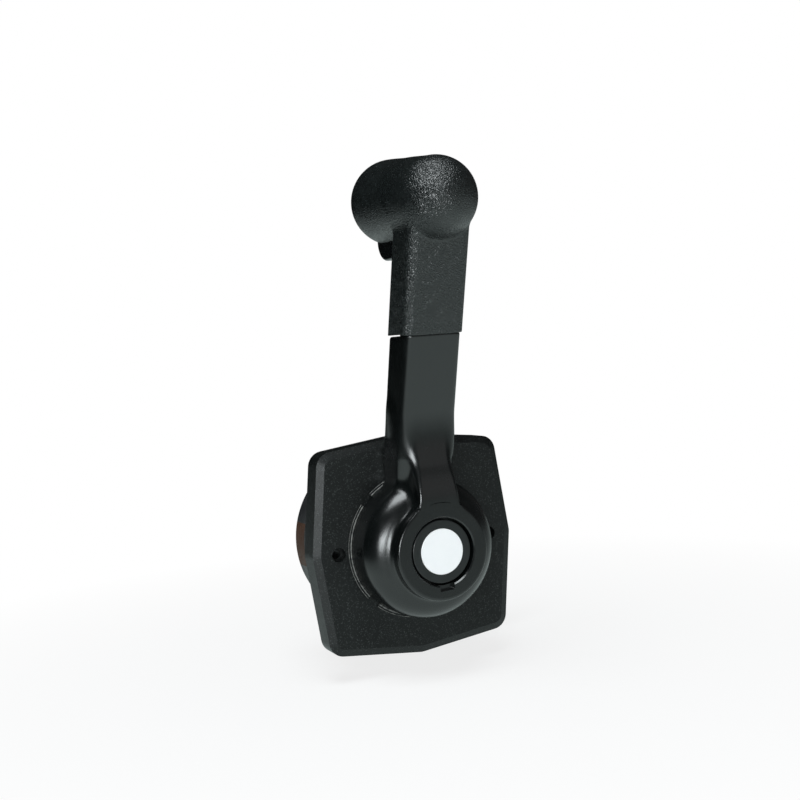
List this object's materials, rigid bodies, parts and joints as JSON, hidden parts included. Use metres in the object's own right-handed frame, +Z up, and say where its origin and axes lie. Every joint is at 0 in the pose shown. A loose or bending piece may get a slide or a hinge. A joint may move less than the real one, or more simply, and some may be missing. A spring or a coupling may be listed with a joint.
{
  "type": "boat throttle control lever",
  "caption": "Side-mount single-lever throttle and shift control for a boat, with a leaning arm, soft T-grip, neutral lock trigger and throttle-only hub button.",
  "frame": {"origin": "on the hub axis, in the plane where the cover plate rests on the panel, midway between the two panel bolts", "axes": "+Z up with the lever upright in neutral; +Y into the panel along the hub axis; +X along the panel, towards the side where the cables leave"},
  "size_m": [0.1502, 0.1623, 0.2914],
  "materials": {
    "plate_plastic": "black moulded plastic with a fine grain",
    "casing_black": "black painted casting",
    "phenolic_brown": "brown phenolic",
    "zinc_screws": "zinc plated",
    "zinc_plate": "zinc plated sheet steel",
    "zinc_cast": "die cast, as cast",
    "bronze_bush": "sintered bronze",
    "brake_lining": "woven brake lining",
    "anchor_brass": "machined brass",
    "spring_steel": "music wire",
    "lever_paint": "satin black paint on die cast aluminium",
    "grip_vinyl": "charcoal soft vinyl with a leather grain",
    "bright_steel": "ground stainless steel",
    "ring_steel": "phosphated spring steel",
    "gear_steel": "sintered steel",
    "button_plastic": "satin black plastic",
    "disc_white": "white, smooth",
    "trigger_gloss": "gloss black plastic"
  },
  "bodies": {
    "base": {"cover_plate": "plate_plastic", "hole_plugs": "plate_plastic", "spigot_casing": "casing_black", "drum_casing": "casing_black", "nut_blocks": "phenolic_brown", "casing_screws": "zinc_screws", "back_plate": "zinc_plate", "back_plate_screws": "zinc_screws", "front_bush": "bronze_bush", "rear_bush": "bronze_bush", "shift_bushes": "bronze_bush", "neutral_ring": "zinc_cast", "cover_screws": "zinc_screws", "brake_shoe": "brake_lining", "friction_screw": "zinc_screws", "friction_nut": "zinc_screws", "detent_plug": "zinc_screws", "detent_spring": "spring_steel", "cable_bracket": "zinc_plate", "bracket_rivets": "zinc_screws", "cable_anchors": "anchor_brass", "anchor_screws": "zinc_screws"},
    "lever": {"lever_arm": "lever_paint", "grip": "grip_vinyl", "main_shaft": "bright_steel", "shaft_keys": "bright_steel", "shaft_rings": "ring_steel", "detent_disc": "gear_steel", "brake_drum": "zinc_cast", "drive_pinion": "gear_steel", "throttle_arm": "zinc_plate", "throttle_pin": "bright_steel", "lock_spring": "spring_steel", "button_spring": "spring_steel"},
    "button": {"hub_button": "button_plastic", "cap_disc": "disc_white", "push_rod": "bright_steel", "clutch_pin": "bright_steel"},
    "lock": {"lock_trigger": "trigger_gloss", "lock_rod": "bright_steel"},
    "shift": {"shift_gear": "gear_steel", "shift_shaft": "bright_steel", "shift_spacer": "zinc_cast", "shift_arm": "zinc_plate", "shift_pin": "bright_steel", "shift_ring": "ring_steel"},
    "ball": {"detent_ball": "bright_steel"}
  },
  "joints": [
    {"name": "lever_swing", "type": "hinge", "parent": "base", "child": "lever", "pos_m": [0, 0, 0], "axis": [0, -1, 0], "range_deg": [-60, 75]},
    {"name": "button_push", "type": "slide", "parent": "lever", "child": "button", "axis": [0, 1, 0], "range_m": [0, 0.004], "stiffness_N_per_m": 1500, "springref_m": -0.002, "deforming": ["button_spring"]},
    {"name": "lock_lift", "type": "slide", "parent": "lever", "child": "lock", "axis": [0, -0.2974, 0.9548], "range_m": [0, 0.005], "stiffness_N_per_m": 1200, "springref_m": -0.002, "deforming": ["lock_spring"]},
    {"name": "shift_swing", "type": "hinge", "parent": "base", "child": "shift", "pos_m": [0, 0, -0.036], "axis": [0, -1, 0], "range_deg": [-45, 36]},
    {"name": "ball_lift", "type": "slide", "parent": "base", "child": "ball", "axis": [-0.5736, 0, -0.8192], "range_m": [0, 0.0012], "stiffness_N_per_m": 1000, "springref_m": -0.001, "deforming": ["detent_spring"]}
  ],
  "couplings": [
    {"joint": "shift_swing", "follows": "lever_swing", "ratio": -0.6}
  ]
}
